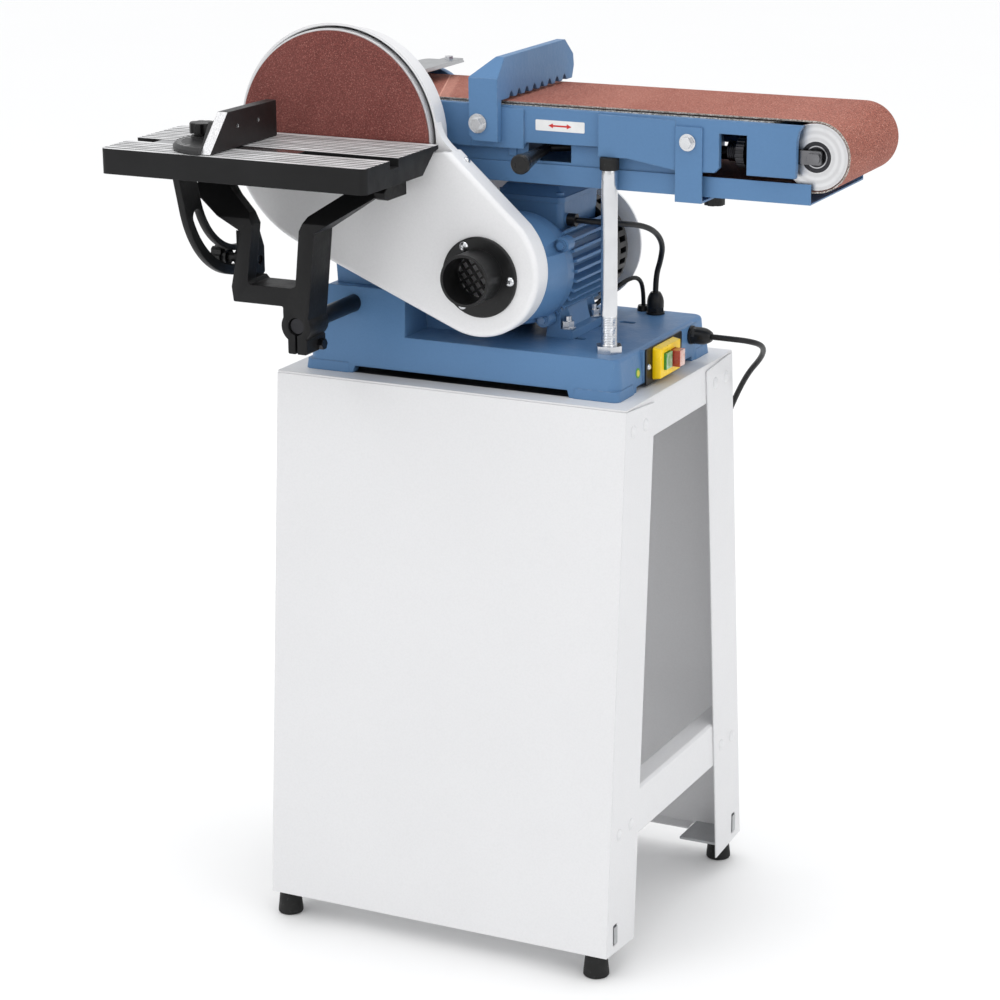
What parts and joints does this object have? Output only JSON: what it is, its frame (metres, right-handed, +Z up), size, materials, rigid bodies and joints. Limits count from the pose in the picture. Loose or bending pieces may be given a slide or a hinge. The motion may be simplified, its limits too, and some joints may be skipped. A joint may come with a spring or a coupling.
{
  "type": "belt and disc sander",
  "caption": "Belt and disc sander on a splayed sheet-metal stand, with a tilting disc table and mitre gauge, a lifting belt arm with fence, a motor, a dust port and a mains lead.",
  "frame": {"origin": "on the floor under the middle of the machine's footprint, cord left out", "axes": "+Z up, +X along the sanding belt towards the idler drum, -Y towards the disc table at the front"},
  "size_m": [0.75, 0.6175, 1.0218],
  "materials": {
    "light_grey_powder": "light grey powder coat, faint texture",
    "white_powder": "white powder coat, satin",
    "blue_paint": "mid blue paint over cast and sheet metal, satin",
    "black_paint": "black textured paint on castings",
    "machined_iron": "black painted casting with a planed bare top",
    "black_steel": "blackened steel",
    "bright_steel": "ground bare steel",
    "zinc_steel": "bright zinc plate",
    "bearing_steel": "polished bearing steel with dark seals",
    "spring_steel": "blackened spring wire",
    "aluminium_drum": "turned aluminium",
    "abrasive": "red-brown coated abrasive, gritty",
    "black_plastic": "moulded black plastic",
    "black_rubber": "matt black rubber",
    "cord_black": "black flexible cable sheath",
    "yellow_plastic": "yellow moulded plastic",
    "green_plastic": "green moulded plastic",
    "red_plastic": "red moulded plastic"
  },
  "bodies": {
    "stand": {"stand_front_panel": "light_grey_powder", "stand_rear_panel": "light_grey_powder", "stand_top_plate": "light_grey_powder", "side_braces": "light_grey_powder", "foot_brackets": "black_paint", "rubber_feet": "black_rubber", "base_casting": "blue_paint", "fasteners": "zinc_steel", "shaft_bracket": "blue_paint", "shaft_bearings": "bearing_steel", "disc_housing": "white_powder", "disc_cover": "white_powder", "dust_port": "black_plastic", "motor_body": "blue_paint", "motor_end_shields": "blue_paint", "terminal_box": "blue_paint", "belt_cover": "light_grey_powder", "v_belt": "black_rubber", "support_post": "bright_steel", "post_cap": "black_rubber", "switch_plate": "black_plastic", "switch_housing": "yellow_plastic", "cable_glands": "black_plastic", "motor_leads": "cord_black", "power_cord": "cord_black", "power_cord_coil": "cord_black", "power_plug": "black_plastic", "table_rod": "black_steel"},
    "spindle": {"main_shaft": "bright_steel", "drive_drum": "aluminium_drum", "disc_plate": "aluminium_drum", "sanding_disc": "abrasive", "driven_pulley": "aluminium_drum"},
    "rotor": {"motor_rotor": "bright_steel", "motor_pulley": "aluminium_drum"},
    "arm": {"arm_casting": "blue_paint", "platen": "bright_steel", "sanding_belt": "abrasive", "lower_guard": "blue_paint", "arm_bolts": "zinc_steel", "backstop_fence": "blue_paint", "drum_guard": "zinc_steel"},
    "guard_clamp": {"guard_knob": "black_plastic"},
    "carriage": {"idler_carriage": "black_steel", "tracking_spring": "spring_steel"},
    "idler": {"idler_drum": "aluminium_drum", "idler_bearings": "bearing_steel"},
    "tracking": {"tracking_wheel": "black_plastic"},
    "lever": {"tension_lever": "black_plastic"},
    "yoke": {"table_yoke": "black_paint", "yoke_bolts": "zinc_steel"},
    "work_table": {"table": "machined_iron", "tilt_quadrant": "black_paint"},
    "tilt_clamp": {"tilt_lock_knob": "black_plastic"},
    "mitre_slide": {"mitre_bar": "bright_steel"},
    "mitre_gauge": {"mitre_head": "aluminium_drum", "mitre_fence": "black_paint"},
    "mitre_clamp": {"mitre_knob": "black_plastic"},
    "start_key": {"on_button": "green_plastic"},
    "stop_key": {"off_button": "red_plastic"}
  },
  "joints": [
    {"name": "spindle_spin", "type": "hinge", "parent": "stand", "child": "spindle", "pos_m": [-0.1844, 0.0528, 0.9008], "axis": [0, 1, 0], "continuous": true},
    {"name": "rotor_spin", "type": "hinge", "parent": "stand", "child": "rotor", "pos_m": [-0.002, 0.0528, 0.7585], "axis": [0, 1, 0], "continuous": true},
    {"name": "arm_lift", "type": "hinge", "parent": "stand", "child": "arm", "pos_m": [-0.1844, 0.0528, 0.9008], "axis": [0, -1, 0], "range_deg": [0, 90]},
    {"name": "guard_knob_turn", "type": "hinge", "parent": "arm", "child": "guard_clamp", "pos_m": [0.21, 0.0288, 0.842], "axis": [0, 0, 1], "range_deg": [-180, 180]},
    {"name": "carriage_slide", "type": "slide", "parent": "arm", "child": "carriage", "axis": [-1, 0, 0], "range_m": [0, 0.008]},
    {"name": "idler_spin", "type": "hinge", "parent": "carriage", "child": "idler", "pos_m": [0.338, 0.0528, 0.9046], "axis": [0, 1, 0], "continuous": true},
    {"name": "tracking_turn", "type": "hinge", "parent": "carriage", "child": "tracking", "pos_m": [0.256, -0.0032, 0.903], "axis": [1, 0, 0], "range_deg": [-180, 180]},
    {"name": "lever_swing", "type": "hinge", "parent": "arm", "child": "lever", "pos_m": [0.075, 0.0308, 0.891], "axis": [0, 0, 1], "range_deg": [0, 35.2]},
    {"name": "yoke_slide", "type": "slide", "parent": "stand", "child": "yoke", "axis": [0, -1, 0], "range_m": [0, 0.02]},
    {"name": "table_tilt", "type": "hinge", "parent": "yoke", "child": "work_table", "pos_m": [-0.217, -0.1152, 0.87], "axis": [1, 0, 0], "range_deg": [0, 45]},
    {"name": "tilt_knob_turn", "type": "hinge", "parent": "yoke", "child": "tilt_clamp", "pos_m": [-0.287, -0.13187, 0.77039], "axis": [1, 0, 0], "range_deg": [-180, 180]},
    {"name": "mitre_travel", "type": "slide", "parent": "work_table", "child": "mitre_slide", "axis": [1, 0, 0], "range_m": [-0.025, 0.1]},
    {"name": "mitre_swivel", "type": "hinge", "parent": "mitre_slide", "child": "mitre_gauge", "pos_m": [-0.287, -0.1852, 0.908], "axis": [0, 0, 1], "range_deg": [-45, 45]},
    {"name": "mitre_knob_turn", "type": "hinge", "parent": "mitre_slide", "child": "mitre_clamp", "pos_m": [-0.287, -0.1852, 0.92], "axis": [0, 0, 1], "range_deg": [-180, 180]},
    {"name": "on_press", "type": "slide", "parent": "stand", "child": "start_key", "axis": [-1, 0, 0], "range_m": [0, 0.003], "stiffness_N_per_m": 300},
    {"name": "off_press", "type": "slide", "parent": "stand", "child": "stop_key", "axis": [-1, 0, 0], "range_m": [0, 0.003], "stiffness_N_per_m": 300}
  ],
  "couplings": [
    {"joint": "rotor_spin", "follows": "spindle_spin", "ratio": 1.1333},
    {"joint": "idler_spin", "follows": "spindle_spin", "ratio": 1.0647},
    {"joint": "lever_swing", "follows": "carriage_slide", "rad_per_m": 76.36}
  ]
}
